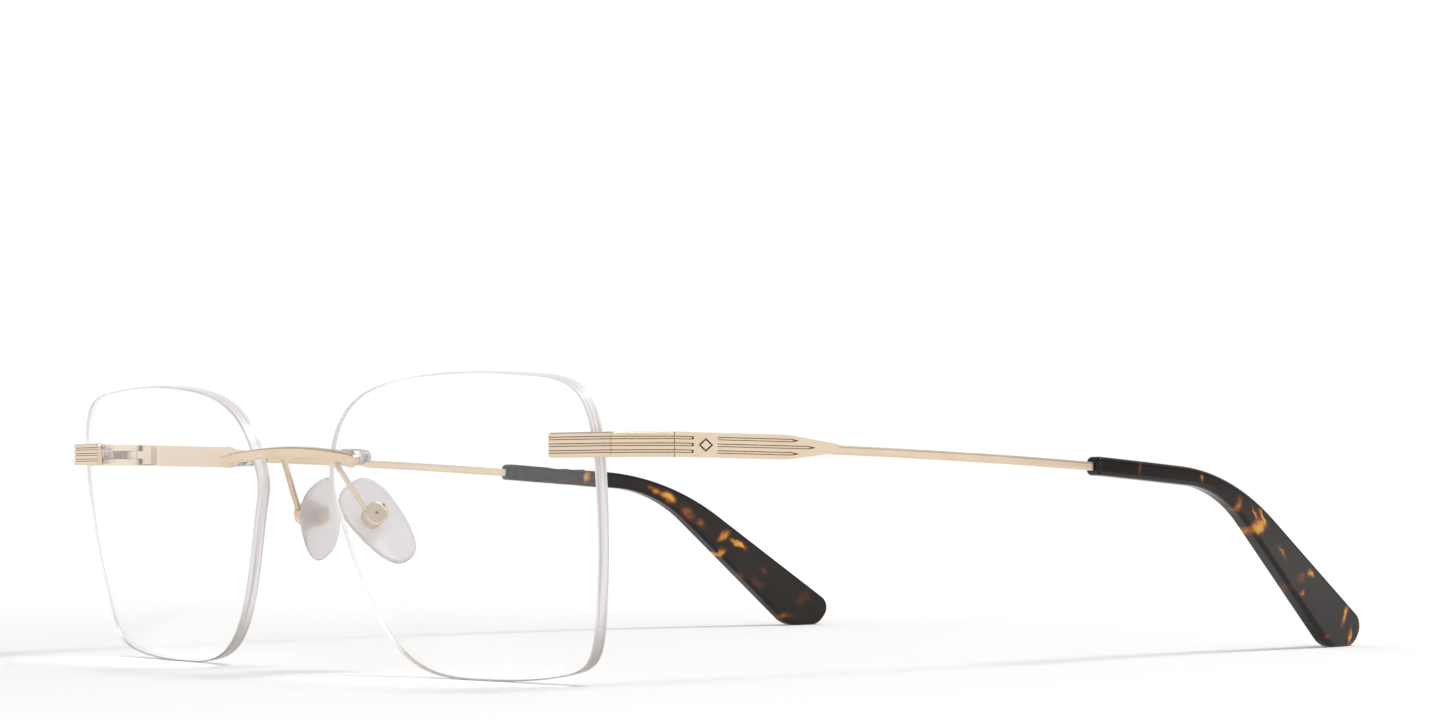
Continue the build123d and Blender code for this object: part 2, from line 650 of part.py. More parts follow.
def pad_box():
    """Cup soldered to the arm: a cover, two cheeks for the screw and a closed top."""
    low, high = box_levels()
    shape = RectangleRounded(BOX_SIZE, BOX_SIZE, BOX_CORNER)
    cup = Pos(0, 0, low) * extrude(shape, high - low)
    cup = fillet(cup.faces().sort_by(Axis.Z)[-1].edges(), BOX_COVER / 2)
    inside = BOX_SIZE - 2 * BOX_WALL
    depth = 2 * (high - BOX_COVER - low)
    pocket = Box(inside, 2 * BOX_SIZE, depth)
    cup = cup - Pos(0, BOX_SIZE / 2 - BOX_WALL - BOX_SIZE, low) * pocket
    cup = cup - Pos(0, 0, high) * Cylinder(DIMPLE_RADIUS, 2 * DIMPLE_DEPTH)
    cup = cup - Pos(0, 0, EYE_OUT) * Rot(0, 90, 0) * Cylinder(PAD_SCREW_RADIUS, 2 * BOX_SIZE)
    return pad_plane() * Pos(EYE_SIDE, EYE_UP, 0) * cup


def pad_screw():
    shank = Rot(0, 90, 0) * Cylinder(PAD_SCREW_RADIUS, BOX_SIZE)
    centre = BOX_SIZE / 2 + PAD_HEAD_HEIGHT / 2
    head = Pos(centre, 0, 0) * Rot(0, 90, 0) * Cylinder(PAD_HEAD_RADIUS, PAD_HEAD_HEIGHT)
    slot = Pos(centre + PAD_HEAD_HEIGHT / 2, 0, 0)
    slot = slot * Box(PAD_HEAD_HEIGHT, SCREW_SLOT, 3 * PAD_HEAD_RADIUS)
    return pad_plane() * Pos(EYE_SIDE, EYE_UP, EYE_OUT) * (shank + head - slot)


def pad_arm():
    """Flat wire from the back of the bridge to the top of the pad box."""
    high = box_levels()[1]
    rise = BRIDGE_RISE * (1 - (2 * ARM_ROOT_X / BRIDGE_SPAN) ** 2)
    start = bridge_plane().from_local_coords(Vector(ARM_ROOT_X, rise, ARM_SINK))
    corner = Vector(EYE_SIDE - BOX_SIZE / 4, EYE_UP + BOX_SIZE / 2 - BOX_WALL / 2, high - ARM_WIDTH / 2)
    finish = pad_plane().from_local_coords(corner)
    bend = start + Vector(ARM_OUT, ARM_REACH, -ARM_WIDTH / 2)
    path = FilletPolyline(start, bend, finish, radius=ARM_BEND)
    section = Plane(origin=start, z_dir=path % 0) * RectangleRounded(ARM_WIDTH, ARM_THICK, 0.2)
    return sweep(section, path=path) - bridge() - pad_box()


# ---------------------------------------------------------------- assembly
def both(make):
    left = make()
    return left, mirror(left, about=Plane.YZ)


def solids_of(*shapes):
    found = []
    for shape in shapes:
        found.extend(shape.solids())
    return Compound(children=found)


def build_nodes():
    nodes = {"bridge": bridge()}
    sided = {
        "lens": lens, "end_piece": end_piece, "hinge_fork": hinge_fork,
        "pad_arm": pad_arm, "pad_box": pad_box, "nose_pad": nose_pad,
        "pad_insert": pad_insert, "temple": temple, "hinge_tongue": hinge_tongue,
        "temple_tip": temple_tip,
        "bridge_plug": lambda: plug(bridge_joint()),
        "end_piece_plug": lambda: plug(end_joint()),
    }
    for name, make in sided.items():
        nodes[name + "_left"], nodes[name + "_right"] = both(make)
    nodes["hinge_screws"] = solids_of(*both(hinge_screw))
    nodes["pad_screws"] = solids_of(*both(pad_screw))
    nodes["bridge_pins"] = solids_of(*both(lambda: Compound(children=pins(bridge_joint()))))
    nodes["end_piece_pins"] = solids_of(*both(lambda: Compound(children=pins(end_joint()))))
    return nodes


def main():
    """Write each node, with the origin under the middle of the whole object."""
    nodes = build_nodes()
    boxes = [shape.bounding_box() for shape in nodes.values()]
    middle = (min(box.min.Y for box in boxes) + max(box.max.Y for box in boxes)) / 2
    floor = min(box.min.Z for box in boxes)
    os.makedirs("parts", exist_ok=True)
    for name, shape in nodes.items():
        export_step(Pos(0, -middle, -floor) * shape, f"parts/{name}.step")
    print("moved by", round(-middle, 4), round(-floor, 4))


if __name__ == "__main__":
    main()
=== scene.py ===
"""Rimless eyeglasses: finishes, moulded nose pads, stage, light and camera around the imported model."""
import json
import math

import bmesh
import bpy
import numpy as np
from mathutils import Matrix, Vector


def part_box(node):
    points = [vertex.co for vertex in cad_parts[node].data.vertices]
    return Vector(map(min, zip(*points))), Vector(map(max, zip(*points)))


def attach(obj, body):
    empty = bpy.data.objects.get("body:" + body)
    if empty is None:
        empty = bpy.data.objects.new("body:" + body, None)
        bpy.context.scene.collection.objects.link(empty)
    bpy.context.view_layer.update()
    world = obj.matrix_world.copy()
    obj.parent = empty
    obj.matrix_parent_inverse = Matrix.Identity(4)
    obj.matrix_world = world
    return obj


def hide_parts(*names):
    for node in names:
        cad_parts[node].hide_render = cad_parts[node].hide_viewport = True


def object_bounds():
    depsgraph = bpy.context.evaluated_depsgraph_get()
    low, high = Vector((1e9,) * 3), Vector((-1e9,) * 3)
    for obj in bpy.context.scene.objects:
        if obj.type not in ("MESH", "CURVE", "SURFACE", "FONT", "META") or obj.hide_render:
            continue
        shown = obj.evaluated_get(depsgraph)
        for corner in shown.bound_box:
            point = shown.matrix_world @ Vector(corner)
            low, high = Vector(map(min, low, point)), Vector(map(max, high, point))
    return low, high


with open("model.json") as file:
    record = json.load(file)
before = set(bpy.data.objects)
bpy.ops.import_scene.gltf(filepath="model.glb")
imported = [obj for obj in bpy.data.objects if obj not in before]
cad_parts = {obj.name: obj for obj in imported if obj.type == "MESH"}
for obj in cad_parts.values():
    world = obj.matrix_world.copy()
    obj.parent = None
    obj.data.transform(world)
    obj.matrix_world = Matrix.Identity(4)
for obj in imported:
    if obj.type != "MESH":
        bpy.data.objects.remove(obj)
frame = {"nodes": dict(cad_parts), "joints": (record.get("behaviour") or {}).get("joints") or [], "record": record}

MM = 0.001
CAD_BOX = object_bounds()

# ---- camera: turned towards the wearer's left, a little above the table top, looking slightly up ----
CAMERA_AZIMUTH = 50.541  # degrees from straight in front
CAMERA_ELEVATION = -1.79
CAMERA_ROLL = -0.53
CAMERA_DISTANCE = 0.481342
CAMERA_TARGET = Vector((0.055829, CAD_BOX[0].y + 0.03295, 0.042117))
CAMERA_CLIP_START = 0.01
LENS_MM = 90.53
SENSOR_MM = 36.0

# ---- studio ----
FLOOR_SIZE = 8.0
PAPER_WHITE = "#F7F6F5"
FLOOR_GLOW_REACH = (0.1, 0.7)  # distances from the glasses between which the floor's own light grows
FLOOR_GLOW = (0.08, 0.6)
AIR_STRENGTH = 1.02
# sine of the height over the horizon, brightness
AIR_LEVELS = [(0.0, 1.0), (0.24, 1.0), (0.42, 0.6), (0.66, 0.45), (0.85, 0.4), (1.0, 0.4)]
# azimuth from straight in front, elevation, inner and outer half angle (degrees), brightness
BLACK_CARDS = [(50.5, 3.0, 5.0, 15.0, 0.1), (153.0, 5.0, 10.0, 22.0, 0.16)]
# name, place, width and height (metres), power (watts)
SOFTBOXES = [
    ("overhead_softbox", (0.35, 0.35, 0.95), (0.4, 0.3), 5.6),
    ("front_softbox", (0.9, -1.0, 0.7), (0.9, 0.9), 1.5),
]
SOFTBOX_AIM = Vector((0, 0, 0.02))

# ---- finishes ----
GOLD = "#E9D6C0"
GOLD_DEEP = "#DCC5AA"
# painted shade: the dark brown laid into the grooves and crevices of the gold
GROOVE_PAINTED_SHADE = "#2E2118"
SCREW_GOLD = "#EAD6B4"
SCREW_GOLD_DEEP = "#D3B78C"
PURE_WHITE = "#FFFFFF"
LENS_VEIL = "#F4F4F4"  # what each lens face takes out of the light that makes its shadow
EDGE_LINE = "#CFC8C9"
EDGE_PALE = "#FBF8F8"
# painted shade for the low part of the lens edge
EDGE_PAINTED_SHADE = "#B5AFAD"
# painted glow (emission) for the upper part of the lens edge
EDGE_PAINTED_GLOW = "#FFFAFA"
SLEEVE_CLEAR = "#F7F2F0"
SILICONE_MILK = "#EAE6E6"
# painted glow (emission) that lightens the nose pads
SILICONE_PAINTED_GLOW = "#FFFBFB"
GROOVE_REACH = 0.18  # how far from a wall the painted groove shade reaches, mm
EDGE_ROWS = 7.0  # pattern cells across the lens edge
EDGE_STREAK = 18  # length of a streak along the lens edge, mm
EDGE_SHADE_HEIGHTS = (1 * MM, 11 * MM)  # the painted shade on the edge turns from grey to pale between these heights
# strength of the painted glow on the lens edge
EDGE_PAINTED_GLOW_STRENGTH = 0.14


def linear(hex_colour):
    """An sRGB hex colour as linear red, green, blue and full alpha."""
    channels = []
    for start in (1, 3, 5):
        value = int(hex_colour[start:start + 2], 16) / 255
        if value <= 0.04045:
            channels.append(value / 12.92)
        else:
            channels.append(((value + 0.055) / 1.055) ** 2.4)
    return (*channels, 1.0)


def direction(azimuth, elevation):
    """Unit vector towards an azimuth from straight in front and an elevation, both in degrees."""
    azimuth = math.radians(azimuth)
    elevation = math.radians(elevation)
    return Vector((math.sin(azimuth) * math.cos(elevation), -math.cos(azimuth) * math.cos(elevation),
                   math.sin(elevation)))


# ---------------------------------------------------------------- node helpers
def add_node(tree, kind, inputs=None, **settings):
    """Add a node: settings are its properties, inputs are numbers, colours or sockets to link."""
    node = tree.nodes.new(kind)
    for name, value in settings.items():
        setattr(node, name, value)
    for name, value in (inputs or {}).items():
        if isinstance(value, bpy.types.NodeSocket):
            tree.links.new(value, node.inputs[name])
        else:
            node.inputs[name].default_value = value
    return node


def new_material(name):
    """An empty node material and its tree."""
    material = bpy.data.materials.new(name)
    material.use_nodes = True
    material.node_tree.nodes.clear()
    return material, material.node_tree


def object_place(tree):
    """The place on the object, in metres."""
    return add_node(tree, "ShaderNodeTexCoord").outputs["Object"]


def finish_with(tree, shader):
    """Make a shader socket the surface of its material."""
    add_node(tree, "ShaderNodeOutputMaterial", {"Surface": shader})


def noise(tree, place, cell, detail):
    """A noise node with about one cell every so many millimetres."""
    return add_node(tree, "ShaderNodeTexNoise", {"Vector": place, "Scale": 1 / (cell * MM), "Detail": detail})


def remap(tree, value, source=(0.0, 1.0), target=(0.0, 1.0), curve="LINEAR"):
    """A value carried from one range to another."""
    return add_node(tree, "ShaderNodeMapRange",
                    {"Value": value, "From Min": source[0], "From Max": source[1],
                     "To Min": target[0], "To Max": target[1]},
                    interpolation_type=curve).outputs[0]


def math_node(tree, operation, first, second):
    """Two numbers joined by one operation."""
    return add_node(tree, "ShaderNodeMath", {0: first, 1: second}, operation=operation).outputs[0]


def scaled(tree, vector, factor):
    """A vector or colour times a number."""
    return add_node(tree, "ShaderNodeVectorMath", {0: vector, 3: factor}, operation="SCALE").outputs[0]


def mix_colours(tree, share, first, second):
    """The first colour where the share is 0, the second where it is 1."""
    return add_node(tree, "ShaderNodeMix", {0: share, 6: first, 7: second}, data_type="RGBA").outputs[2]


def bump(tree, height, strength, depth):
    """A normal from a height pattern that is so many millimetres deep."""
    return add_node(tree, "ShaderNodeBump",
                    {"Height": height, "Strength": strength, "Distance": depth * MM}).outputs[0]


def colour_ramp(tree, value, shades):
    """A ramp through (position, colour) pairs."""
    ramp = add_node(tree, "ShaderNodeValToRGB", {"Fac": value})
    stops = ramp.color_ramp.elements
    while len(stops) < len(shades):
        stops.new(0.5)
    for stop, (position, colour) in zip(stops, shades):
        stop.position = position
        stop.color = colour
    return ramp.outputs[0]


# ---------------------------------------------------------------- metal
def champagne_plating():
    """Nickel-silver strip, brushed along its length and plated champagne gold.

    The eye sees a soft satin sheen, faint grain along the temples, plating that is a touch
    deeper in places, and painted shade: dark brown lines laid into the cut grooves.
    """
    material, tree = new_material("champagne_gold_satin_plating")
    place = object_place(tree)
    cloud = noise(tree, place, 6, 3.0)
    across, along = 1 / (0.12 * MM), 1 / (4.0 * MM)
    grain_place = add_node(tree, "ShaderNodeMapping", {"Vector": place, "Scale": (across, along, across)})
    grain = add_node(tree, "ShaderNodeTexNoise",
                     {"Vector": grain_place.outputs[0], "Scale": 1.0, "Detail": 4.0, "Roughness": 0.65})
    plating = mix_colours(tree, cloud.outputs["Fac"], linear(GOLD), linear(GOLD_DEEP))
    # painted shade: ambient occlusion turns the gold dark brown in grooves and crevices
    crevice = add_node(tree, "ShaderNodeAmbientOcclusion", {"Distance": GROOVE_REACH * MM}, samples=16)
    unshaded_share = remap(tree, crevice.outputs["AO"], (0.66, 0.98), curve="SMOOTHSTEP")
    metal = add_node(tree, "ShaderNodeBsdfPrincipled",
                     {"Base Color": mix_colours(tree, unshaded_share, linear(GROOVE_PAINTED_SHADE), plating),
                      "Metallic": 1.0,
                      "Roughness": remap(tree, grain.outputs["Fac"], target=(0.22, 0.38)),
                      "Normal": bump(tree, grain.outputs["Fac"], 0.25, 0.004)})
    finish_with(tree, metal.outputs[0])
    return material


def polished_screw_metal():
    """Turned steel screws and posts, tumbled and flashed with the same gold.

    They are brighter than the strip, with fine specks from turning.
    """
    material, tree = new_material("gold_flashed_turned_steel")
    place = object_place(tree)
    specks = noise(tree, place, 0.15, 2.0).outputs["Fac"]
    metal = add_node(tree, "ShaderNodeBsdfPrincipled",
                     {"Base Color": mix_colours(tree, specks, linear(SCREW_GOLD), linear(SCREW_GOLD_DEEP)),
                      "Metallic": 1.0,
                      "Roughness": remap(tree, specks, target=(0.12, 0.26)),
                      "Normal": bump(tree, specks, 0.2, 0.003)})
    finish_with(tree, metal.outputs[0])
    return material


# ---------------------------------------------------------------- clear parts
def lens_plastic():
    """Cast CR-39 lens plastic, polished on both faces until it is clear as water.

    Its shadow is only a pale veil.
    """
    material, tree = new_material("cr39_lens_polished")
    clear = add_node(tree, "ShaderNodeBsdfPrincipled",
                     {"Base Color": linear(PURE_WHITE), "Roughness": 0.0, "IOR": 1.5,
                      "Transmission Weight": 1.0})
    veil = add_node(tree, "ShaderNodeBsdfTransparent", {"Color": linear(LENS_VEIL)})
    shadow = add_node(tree, "ShaderNodeLightPath").outputs["Is Shadow Ray"]
    seen = add_node(tree, "ShaderNodeMixShader", {0: shadow, 1: clear.outputs[0], 2: veil.outputs[0]})
    finish_with(tree, seen.outputs[0])
    return material


def ground_lens_edge():
    """The same plastic where it was ground and buffed: pale, a little milky, with fine lines.

    The wheel leaves four or five lines round the edge, which vary slowly along it. Low down the
    colour is painted greyer as shade, and higher up a painted glow (emission) lightens it.
    """
    material, tree = new_material("cr39_edge_ground_and_buffed")
    place = object_place(tree)
    depth = add_node(tree, "ShaderNodeAttribute", attribute_name="edge_depth").outputs["Fac"]
    split = add_node(tree, "ShaderNodeSeparateXYZ", {0: place})
    spot = add_node(tree, "ShaderNodeCombineXYZ",
                    {"X": math_node(tree, "MULTIPLY", depth, EDGE_ROWS),
                     "Y": math_node(tree, "MULTIPLY", split.outputs["Z"], 1 / (EDGE_STREAK * MM)),
                     "Z": math_node(tree, "MULTIPLY", split.outputs["X"], 1 / (EDGE_STREAK * MM))})
    lines = add_node(tree, "ShaderNodeTexNoise", {"Vector": spot.outputs[0], "Scale": 1.0, "Detail": 1.0})
    pale_share = remap(tree, lines.outputs["Fac"], (0.34, 0.62), curve="SMOOTHSTEP")
    colour = mix_colours(tree, pale_share, linear(EDGE_LINE), linear(EDGE_PALE))
    # painted shade low on the edge and a painted glow higher up, both set by height over the floor
    position = add_node(tree, "ShaderNodeNewGeometry").outputs["Position"]
    height = add_node(tree, "ShaderNodeSeparateXYZ", {0: position}).outputs["Z"]
    painted_light_share = remap(tree, height, EDGE_SHADE_HEIGHTS, curve="SMOOTHSTEP")
    plastic = add_node(tree, "ShaderNodeBsdfPrincipled",
                       {"Base Color": mix_colours(tree, painted_light_share, linear(EDGE_PAINTED_SHADE), colour),
                        "Roughness": 0.3, "IOR": 1.5, "Transmission Weight": 0.25,
                        "Emission Color": linear(EDGE_PAINTED_GLOW),
                        "Emission Strength": math_node(tree, "MULTIPLY", painted_light_share, EDGE_PAINTED_GLOW_STRENGTH)})
    finish_with(tree, plastic.outputs[0])
    return material


def clear_sleeve():
    """Injection-moulded polyamide, clear, with a slightly frosted skin."""
    material, tree = new_material("clear_moulded_polyamide")
    place = object_place(tree)
    skin = noise(tree, place, 0.5, 2.0).outputs["Fac"]
    plastic = add_node(tree, "ShaderNodeBsdfPrincipled",
                       {"Base Color": linear(SLEEVE_CLEAR), "IOR": 1.53, "Transmission Weight": 0.7,
                        "Roughness": remap(tree, skin, target=(0.2, 0.42))})
    finish_with(tree, plastic.outputs[0])
    return material


def pad_silicone():
    """Clear platinum-cured silicone, moulded in a lightly polished tool: soft, faintly milky, lightened by a faint
    painted glow.
    """
    material, tree = new_material("clear_moulded_silicone")
    place = object_place(tree)
    haze = noise(tree, place, 1.2, 3.0).outputs["Fac"]
    # painted glow: a faint emission lightens the pad
    rubber = add_node(tree, "ShaderNodeBsdfPrincipled",
                      {"Base Color": linear(SILICONE_MILK), "IOR": 1.41, "Transmission Weight": 0.6,
                       "Roughness": remap(tree, haze, target=(0.08, 0.24)),
                       "Emission Color": linear(SILICONE_PAINTED_GLOW), "Emission Strength": 0.02})
    finish_with(tree, rubber.outputs[0])
    return material


# ---------------------------------------------------------------- tortoise acetate
# each fleck: behind the mouth, above the floor, half length, half width (mm), turn (degrees), brightness
NEAR_FLECKS = [
    (8.9, 26.9, 1.5, 0.45, 90, 0.42),
    (23.7, 25.9, 0.8, 0.45, 80, 0.75),
    (32.6, 21.7, 1.5, 0.8, 60, 0.62),
    (37.6, 18.4, 2.6, 1.1, 15, 1.0),
    (38.8, 19.6, 1.9, 0.45, -50, 0.95),
    (37.0, 20.3, 1.6, 0.35, -60, 0.85),
    (43.6, 14.6, 1.6, 0.45, -45, 0.8),
    (46.3, 9.4, 1.6, 0.8, -30, 0.5),
    (48.7, 8.5, 0.7, 0.4, 30, 0.75),
    (48.6, 10.6, 1.6, 1.0, 20, 0.48),
    (51.0, 11.3, 1.1, 0.6, -40, 0.88),
    (60.0, 4.9, 2.0, 0.6, 60, 0.9),
    (61.3, 1.6, 1.6, 0.5, 80, 0.92),
    (64.0, 3.4, 1.6, 1.0, 70, 0.55),
    (55.3, 1.8, 1.5, 0.6, 30, 0.45),
]
FAR_FLECKS = [
    (10.8, 26.0, 1.6, 0.5, 0, 0.4),
    (15.8, 26.6, 1.2, 0.9, 80, 0.85),
    (28.8, 24.2, 1.6, 0.7, -20, 0.85),
    (31.5, 22.9, 2.0, 0.9, -30, 0.95),
    (34.9, 20.6, 2.6, 1.0, -40, 0.62),
    (38.0, 18.3, 1.5, 0.8, -45, 0.6),
    (42.7, 16.1, 1.6, 0.7, 30, 0.95),
    (45.4, 14.7, 2.2, 0.5, -25, 1.0),
    (42.0, 13.1, 1.3, 0.7, 40, 0.95),
    (46.5, 8.9, 1.4, 0.9, -30, 0.5),
    (49.3, 7.7, 1.8, 1.1, -35, 0.55),
    (50.7, 9.9, 1.2, 0.8, -35, 0.5),
    (55.5, 1.8, 2.0, 0.8, 0, 0.55),
    (58.8, 4.6, 2.0, 1.6, 60, 0.42),
    (63.7, 3.4, 1.4, 0.8, 70, 0.45),
]
FLECK_FADE = 1.9  # a fleck has faded out at this many half lengths from its middle
FLECK_DRAG = 1.5  # how far the swirl drags the flecks, mm
ACETATE_SHADES = [
    (0.0, "#1A1512"), (0.3, "#241811"), (0.48, "#4A2813"),
    (0.68, "#8E5217"), (0.9, "#D2922E"), (1.0, "#E0A845"),
]


def swirled_place(tree, place):
    """The place on the sheet, dragged a little to and fro as the colours were when they were poured."""
    swirl = noise(tree, place, 1.6, 3.0).outputs["Color"]
    centred = add_node(tree, "ShaderNodeVectorMath", {0: swirl, 1: (0.5, 0.5, 0.5)}, operation="SUBTRACT")
    pull = scaled(tree, centred.outputs[0], FLECK_DRAG * MM)
    return add_node(tree, "ShaderNodeVectorMath", {0: place, 1: pull}, operation="ADD").outputs[0]


def tortoise_acetate(name, flecks, tip):
    """Cellulose acetate sheet, cut and tumbled to a deep gloss.

    Amber flecks run right through the near-black sheet, with brown smoke round them.
    """
    material, tree = new_material(name)
    place = object_place(tree)
    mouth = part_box(tip)[0].y
    bent = swirled_place(tree, place)
    glow = 0.0
    for back, up, length, width, turn, bright in flecks:
        local = add_node(tree, "ShaderNodeMapping",
                         {"Vector": bent, "Location": (0, mouth + back * MM, up * MM),
                          "Rotation": (math.radians(turn), 0, 0), "Scale": (1.0, length * MM, width * MM)},
                         vector_type="TEXTURE")
        reach = add_node(tree, "ShaderNodeVectorMath", {0: local.outputs[0]}, operation="LENGTH")
        fleck = remap(tree, reach.outputs["Value"], (FLECK_FADE, 0.0), (0.0, bright), "SMOOTHSTEP")
        glow = math_node(tree, "MAXIMUM", glow, fleck)
    smoke = remap(tree, noise(tree, place, 2.5, 5.0).outputs["Fac"], (0.35, 0.75), (-0.1, 0.25))
    shades = [(position, linear(shade)) for position, shade in ACETATE_SHADES]
    plastic = add_node(tree, "ShaderNodeBsdfPrincipled",
                       {"Base Color": colour_ramp(tree, math_node(tree, "ADD", glow, smoke), shades),
                        "Roughness": 0.1, "IOR": 1.47, "Specular IOR Level": 0.3})
    finish_with(tree, plastic.outputs[0])
    return material


# ---------------------------------------------------------------- detailed pieces
def thin_axis(points):
    """Direction in which a cloud of points is thinnest."""
    return np.linalg.svd(points - points.mean(0), full_matrices=False)[2][2]


def link_piece(name, mesh, node, body):
    """Put a finished mesh in the scene in place of a CAD node."""
    piece = bpy.data.objects.new(name, mesh)
    bpy.context.scene.collection.objects.link(piece)
    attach(piece, body)
    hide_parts(node)


def edged_lens(side, polished, ground):
    """The lens with its ground edge, bevels and drilled holes finished apart from its faces."""
    node = "lens_" + side
    mesh = frame["nodes"][node].data.copy()
    mesh.name = node + "_edged"
    points = np.array([vertex.co for vertex in mesh.vertices])
    axis = thin_axis(points)
    normals = np.array([face.normal for face in mesh.polygons])
    centres = np.array([face.center for face in mesh.polygons])
    on_face = abs(normals @ axis) > 0.95
    # the faces are parts of two spheres, and every normal on them passes through one centre
    across = np.eye(3) - np.einsum("ni,nj->nij", normals[on_face], normals[on_face])
    pull = np.einsum("nij,nj->i", across, centres[on_face])
    centre = np.linalg.lstsq(across.sum(0), pull, rcond=None)[0]
    reach = np.linalg.norm(points - centre, axis=1)
    depth = (reach - reach.min()) / (reach.max() - reach.min())
    layer = mesh.attributes.new("edge_depth", "FLOAT", "POINT")
    layer.data.foreach_set("value", depth.astype(np.float32))
    mesh.materials.clear()
    mesh.materials.append(polished)
    mesh.materials.append(ground)
    for face, flat in zip(mesh.polygons, on_face):
        face.material_index = 0 if flat else 1
    link_piece("edged_lens_" + side, mesh, node, "front")


# the moulded pad, in millimetres
PAD_LENGTH = 13.5
PAD_WIDTH = 7.5
PAD_SQUARE = 2.58  # superellipse exponent of the outline
PAD_EGG = 0.15  # the top end is wider than the middle by this share, and the bottom end narrower
PAD_SKEW = 0.069
PAD_RIM = 0.34  # half thickness at the rim
PAD_CROWN = 0.6
PAD_LIP = 0.1
PAD_BOSS = 0.42
BOSS_SIDE = -0.74
BOSS_UP = 0.83
BOSS_RADIUS = 1.9
PAD_SEGMENTS = 72
PAD_RINGS = (0.0, 0.12, 0.24, 0.36, 0.48, 0.58, 0.67, 0.75, 0.81, 0.86, 0.9, 0.935, 0.965, 0.985, 0.997)
WELD = 0.002  # points nearer than this become one


def pad_outline(angle):
    """A point on the pad's egg-shaped outline, in millimetres."""
    c, s = math.cos(angle), math.sin(angle)
    x = PAD_WIDTH / 2 * abs(c) ** (2 / PAD_SQUARE) * math.copysign(1, c)
    y = PAD_LENGTH / 2 * abs(s) ** (2 / PAD_SQUARE) * math.copysign(1, s)
    return x * (1 + PAD_EGG * y / (PAD_LENGTH / 2)) + PAD_SKEW * y, y


def pad_surface(ring, x, y, outer):
    """Height of the pad's nose side or outer side over its middle plane, in millimetres."""
    rim = PAD_RIM * math.sqrt(max(0.0, 1 - ring ** 24))
    if not outer:
        return -rim - PAD_CROWN * (1 - ring ** 2.4)
    lip = PAD_LIP * math.exp(-((ring - 0.93) / 0.035) ** 2)
    boss = PAD_BOSS * math.exp(-((x - BOSS_SIDE) ** 2 + (y - BOSS_UP) ** 2) / BOSS_RADIUS ** 2)
    return rim + lip + boss


def pad_axes(side, points):
    """The pad's own directions: across it along its pivot, up it, and out from the nose."""
    joint = next(joint for joint in frame["joints"] if joint["name"] == side + "_pad_pivot")
    hand = 1 if side == "left" else -1
    across = Vector(joint["axis"]).normalized()
    outward = Vector(thin_axis(points))
    outward *= math.copysign(1, outward.x * hand)
    outward = (outward - across * outward.dot(across)).normalized()
    up = outward.cross(across) * hand
    if up.z < 0:
        up = -up
    return across, up, outward


def pad_faces():
    """Quads between the rings of both sides, and round the rim."""
    side_count = len(PAD_RINGS) * PAD_SEGMENTS
    faces = []
    for ring in range(len(PAD_RINGS) - 1):
        for step in range(PAD_SEGMENTS):
            after = (step + 1) % PAD_SEGMENTS
            a, b = ring * PAD_SEGMENTS + step, ring * PAD_SEGMENTS + after
            quad = (a, b, b + PAD_SEGMENTS, a + PAD_SEGMENTS)
            faces.append(quad)
            faces.append(tuple(index + side_count for index in reversed(quad)))
    low = side_count - PAD_SEGMENTS
    high = low + side_count
    for step in range(PAD_SEGMENTS):
        after = (step + 1) % PAD_SEGMENTS
        faces.append((low + step, low + after, high + after, high + step))
    return faces


def silicone_pad(side, material):
    """One moulded pad: crowned towards the nose, dished behind a thin lip, with a boss for the insert."""
    node = "nose_pad_" + side
    points = np.array([vertex.co for vertex in frame["nodes"][node].data.vertices])
    across, up, outward = pad_axes(side, points)
    middle = Vector()
    for axis in (across, up, outward):
        shares = points @ np.array(axis)
        middle += axis * (shares.min() + shares.max()) / 2
    verts = []
    for outer in (False, True):
        for ring in PAD_RINGS:
            for step in range(PAD_SEGMENTS):
                x, y = pad_outline(2 * math.pi * (step + 0.5) / PAD_SEGMENTS)
                x, y = x * ring, y * ring
                height = pad_surface(ring, x, y, outer)
                verts.append(middle + (across * x + up * y + outward * height) * MM)
    mesh = bpy.data.meshes.new("silicone_pad_" + side)
    mesh.from_pydata(verts, [], pad_faces())
    shape = bmesh.new()
    shape.from_mesh(mesh)
    bmesh.ops.remove_doubles(shape, verts=shape.verts, dist=WELD * MM)
    bmesh.ops.recalc_face_normals(shape, faces=shape.faces)
    shape.to_mesh(mesh)
    shape.free()
    mesh.shade_smooth()
    mesh.materials.append(material)
    link_piece("silicone_pad_" + side, mesh, node, side + "_pad")


# ---------------------------------------------------------------- finishes on the CAD nodes
def set_finish(node, material):
    """Give a CAD node one finish and leave its shape alone."""
    piece = frame["nodes"][node]
    piece.data.materials.clear()
    piece.data.materials.append(material)


def finish_cad_nodes():
    """Metal, screws and sleeves by their slot, and each tip in its own cut of the sheet."""
    by_slot = {
        "frame_gold": champagne_plating(),
        "screw_gold": polished_screw_metal(),
        "clear_sleeve": clear_sleeve(),
    }
    for part in frame["record"]["subparts"]:
        if part["material_slot"] in by_slot:
            set_finish(part["node"], by_slot[part["material_slot"]])
    for side, flecks in (("left", NEAR_FLECKS), ("right", FAR_FLECKS)):
        tip = "temple_tip_" + side
        set_finish(tip, tortoise_acetate("tortoise_acetate_" + side, flecks, tip))


# ---------------------------------------------------------------- stage, light, camera
def studio_floor():
    """A large sheet of matt pale paper that glows a little, more so far back, so that it looks even."""
    material, tree = new_material("matt_pale_paper")
    place = object_place(tree)
    fibre = noise(tree, place, 0.8, 2.0).outputs["Fac"]
    away = add_node(tree, "ShaderNodeVectorMath", {0: place}, operation="LENGTH").outputs["Value"]
    paper = add_node(tree, "ShaderNodeBsdfPrincipled",
                     {"Base Color": linear(PAPER_WHITE), "Roughness": 0.9, "Specular IOR Level": 0.0,
                      "Normal": bump(tree, fibre, 0.05, 0.02), "Emission Color": linear(PURE_WHITE),
                      "Emission Strength": remap(tree, away, FLOOR_GLOW_REACH, FLOOR_GLOW)})
    finish_with(tree, paper.outputs[0])
    bpy.ops.mesh.primitive_plane_add(size=FLOOR_SIZE)
    floor = bpy.context.object
    floor.name = "studio_floor"
    floor.data.materials.append(material)


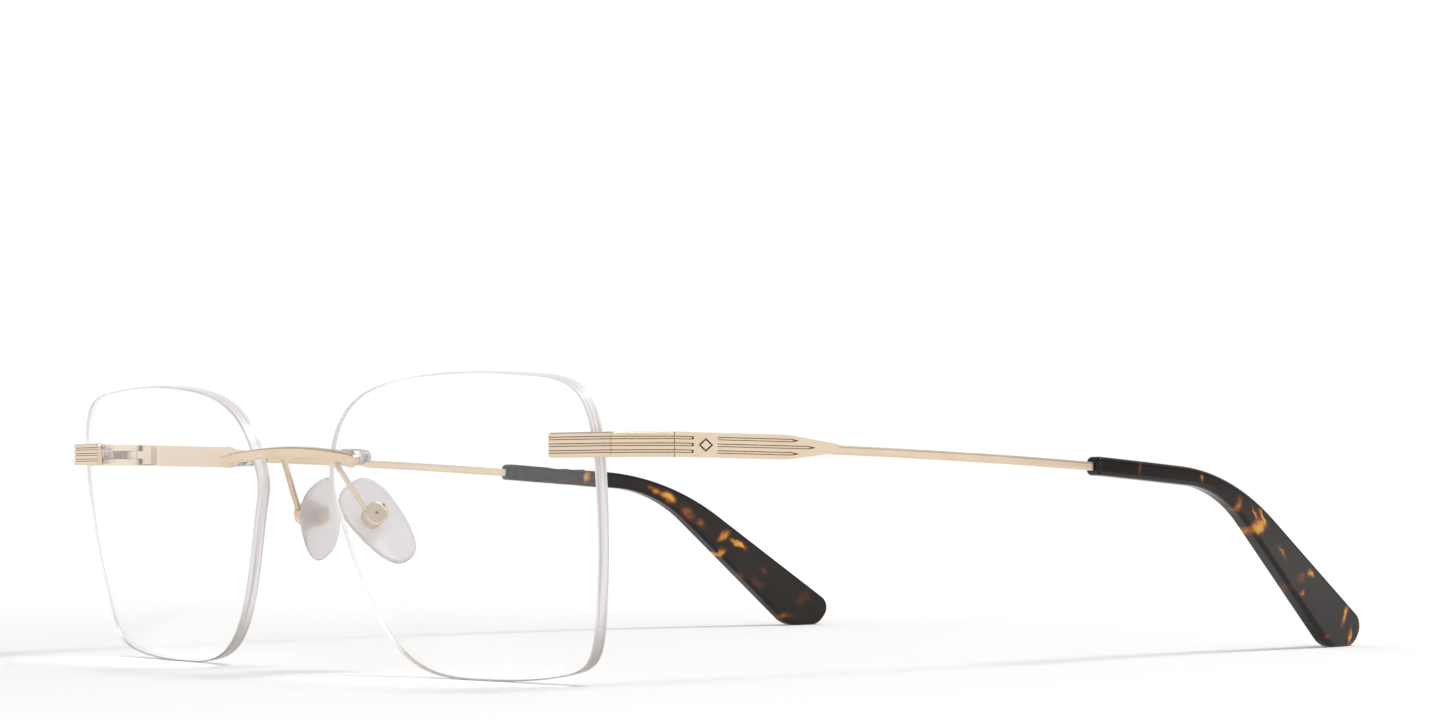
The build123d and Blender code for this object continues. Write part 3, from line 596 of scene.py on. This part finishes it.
def studio_air():
    """White round the horizon, greyer above it, with black cards by the camera and behind the tips.

    The cards give the curved metal its dark streaks and keep the flat sides of the tips deep.
    """
    world = bpy.data.worlds.new("studio_air")
    bpy.context.scene.world = world
    world.use_nodes = True
    tree = world.node_tree
    tree.nodes.clear()
    place = add_node(tree, "ShaderNodeTexCoord").outputs["Generated"]
    height = add_node(tree, "ShaderNodeSeparateXYZ", {0: place}).outputs["Z"]
    greys = [(position, (level, level, level, 1.0)) for position, level in AIR_LEVELS]
    colour = colour_ramp(tree, height, greys)
    for azimuth, elevation, inner, outer, level in BLACK_CARDS:
        facing = add_node(tree, "ShaderNodeVectorMath", {0: place, 1: direction(azimuth, elevation)},
                          operation="DOT_PRODUCT").outputs["Value"]
        edge_cosines = (math.cos(math.radians(inner)), math.cos(math.radians(outer)))
        open_air = remap(tree, facing, edge_cosines, (level, 1.0), "SMOOTHSTEP")
        colour = scaled(tree, colour, open_air)
    sky = add_node(tree, "ShaderNodeBackground", {"Color": colour, "Strength": AIR_STRENGTH})
    add_node(tree, "ShaderNodeOutputWorld", {"Surface": sky.outputs[0]})


def softbox(name, place, size, power):
    """A large area light aimed at the middle of the glasses."""
    lamp = bpy.data.lights.new(name, "AREA")
    lamp.shape = "RECTANGLE"
    lamp.size, lamp.size_y = size
    lamp.energy = power
    holder = bpy.data.objects.new(name, lamp)
    holder.location = place
    holder.rotation_euler = (SOFTBOX_AIM - Vector(place)).to_track_quat("-Z", "Y").to_euler()
    bpy.context.scene.collection.objects.link(holder)


def studio_camera():
    """A long lens close above the table, rolled a touch."""
    back = direction(CAMERA_AZIMUTH, CAMERA_ELEVATION)
    camera = bpy.data.cameras.new("studio_camera")
    camera.lens = LENS_MM
    camera.sensor_width = SENSOR_MM
    camera.clip_start = CAMERA_CLIP_START
    holder = bpy.data.objects.new("studio_camera", camera)
    roll = Matrix.Rotation(math.radians(CAMERA_ROLL), 4, "Z")
    turn = back.to_track_quat("Z", "Y").to_matrix().to_4x4()
    holder.matrix_world = Matrix.Translation(CAMERA_TARGET + back * CAMERA_DISTANCE) @ turn @ roll
    bpy.context.scene.collection.objects.link(holder)
    bpy.context.scene.camera = holder


def build():
    """Finish the glasses, then set the stage round them."""
    finish_cad_nodes()
    polished = lens_plastic()
    ground = ground_lens_edge()
    silicone = pad_silicone()
    for side in ("left", "right"):
        edged_lens(side, polished, ground)
        silicone_pad(side, silicone)
    studio_floor()
    studio_air()
    for name, place, size, power in SOFTBOXES:
        softbox(name, place, size, power)
    studio_camera()
    bpy.context.scene.view_settings.view_transform = "Standard"


build()
